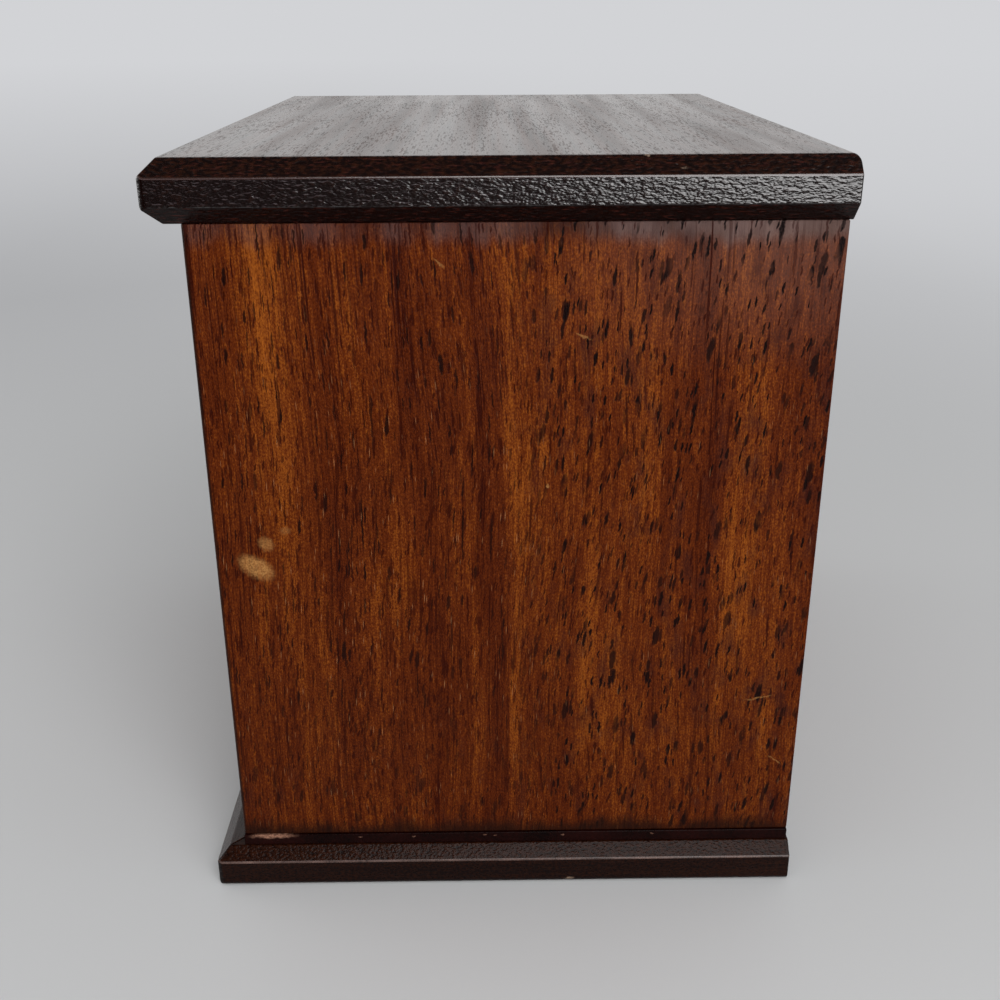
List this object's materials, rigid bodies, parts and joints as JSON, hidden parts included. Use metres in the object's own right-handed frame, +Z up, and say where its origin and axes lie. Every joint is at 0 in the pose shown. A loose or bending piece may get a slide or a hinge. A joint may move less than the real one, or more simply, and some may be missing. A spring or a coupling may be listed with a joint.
{
  "type": "musical jewelry box",
  "caption": "Wooden jewelry box with a hinged chamfered lid over a lined mirror tray, drawers below, and a key-wound cylinder music movement that the lid starts and stops.",
  "frame": {"origin": "middle of the overall box, on the surface that the plinth stands on", "axes": "+Z up, +X along the box's length towards the pictured end, front towards -Y"},
  "size_m": [0.1994, 0.172, 0.182],
  "materials": {
    "mahogany": "reddish mahogany veneer, satin lacquer",
    "espresso": "dark brown stain under gloss lacquer",
    "plywood": "unfinished plywood",
    "velvet": "flocked velvet lining",
    "brass": "polished brass",
    "steel": "bright steel",
    "zinc": "die-cast zinc",
    "mirror": "silvered glass",
    "card": "grey backing card"
  },
  "bodies": {
    "case": {"end_panel_right": "mahogany", "end_panel_left": "mahogany", "back_panel": "mahogany", "front_rail": "mahogany", "tray_floor": "mahogany", "drawer_divider": "mahogany", "bottom_board": "espresso", "plinth_front": "espresso", "plinth_back": "espresso", "plinth_right": "espresso", "plinth_left": "espresso", "bottom_screws": "steel", "tray_lining": "velvet", "tray_partitions": "velvet", "ring_rolls": "velvet", "movement_cover": "velvet", "hinge_case_leaves": "brass", "hinge_pins": "steel", "hinge_case_screws": "brass", "bedplate": "zinc", "cylinder_bridges": "brass", "comb": "steel", "comb_screws": "brass", "bedplate_screws": "steel", "governor_frame": "brass"},
    "lid": {"lid_board": "espresso", "mirror_card": "card", "mirror_glass": "mirror", "mirror_frame": "espresso", "hinge_lid_leaves": "brass", "hinge_lid_screws": "brass"},
    "upper_drawer": {"upper_drawer_front": "mahogany", "upper_drawer_sides": "mahogany", "upper_drawer_back": "mahogany", "upper_drawer_bottom": "plywood", "upper_drawer_lining": "velvet", "upper_drawer_knob": "brass", "upper_drawer_screw": "steel"},
    "lower_drawer": {"lower_drawer_front": "mahogany", "lower_drawer_sides": "mahogany", "lower_drawer_back": "mahogany", "lower_drawer_bottom": "plywood", "lower_drawer_lining": "velvet", "lower_drawer_knob": "brass", "lower_drawer_screw": "steel"},
    "key": {"winding_arbor": "steel", "winding_key": "brass"},
    "cylinder": {"drive_pinion": "steel", "tune_cylinder": "brass", "cylinder_pins": "steel", "cylinder_wheel": "brass"},
    "barrel": {"spring_barrel": "brass", "barrel_cap": "brass", "mainspring": "steel"},
    "governor": {"governor_wheel": "brass"},
    "brake": {"air_brake": "steel"},
    "stop_wire": {"stop_rod": "steel"}
  },
  "joints": [
    {"name": "lid_hinge", "type": "hinge", "parent": "case", "child": "lid", "pos_m": [0, 0.0689, 0.1685], "axis": [-1, 0, 0], "range_deg": [0, 95]},
    {"name": "upper_drawer_slide", "type": "slide", "parent": "case", "child": "upper_drawer", "axis": [0, -1, 0], "range_m": [0, 0.1]},
    {"name": "lower_drawer_slide", "type": "slide", "parent": "case", "child": "lower_drawer", "axis": [0, -1, 0], "range_m": [0, 0.1]},
    {"name": "key_wind", "type": "hinge", "parent": "case", "child": "key", "pos_m": [-0.0695, 0.066, 0.141], "axis": [0, 1, 0], "continuous": true},
    {"name": "cylinder_turn", "type": "hinge", "parent": "case", "child": "cylinder", "pos_m": [-0.0445, 0.0479, 0.141], "axis": [1, 0, 0], "continuous": true},
    {"name": "barrel_turn", "type": "hinge", "parent": "case", "child": "barrel", "pos_m": [-0.0695, 0.0479, 0.141], "axis": [0, -1, 0], "continuous": true},
    {"name": "governor_turn", "type": "hinge", "parent": "case", "child": "governor", "pos_m": [-0.0305, 0.0479, 0.133], "axis": [1, 0, 0], "continuous": true},
    {"name": "brake_spin", "type": "hinge", "parent": "case", "child": "brake", "pos_m": [-0.03, 0.0479, 0.1269], "axis": [0, -1, 0], "continuous": true},
    {"name": "stop_rod_rise", "type": "slide", "parent": "case", "child": "stop_wire", "axis": [0, 0, 1], "range_m": [0, 0.006]}
  ],
  "couplings": [
    {"joint": "barrel_turn", "follows": "cylinder_turn", "ratio": 0.33333},
    {"joint": "governor_turn", "follows": "cylinder_turn", "ratio": -4},
    {"joint": "brake_spin", "follows": "cylinder_turn", "ratio": -80},
    {"joint": "stop_rod_rise", "follows": "lid_hinge", "m_per_rad": 0.0036187}
  ]
}
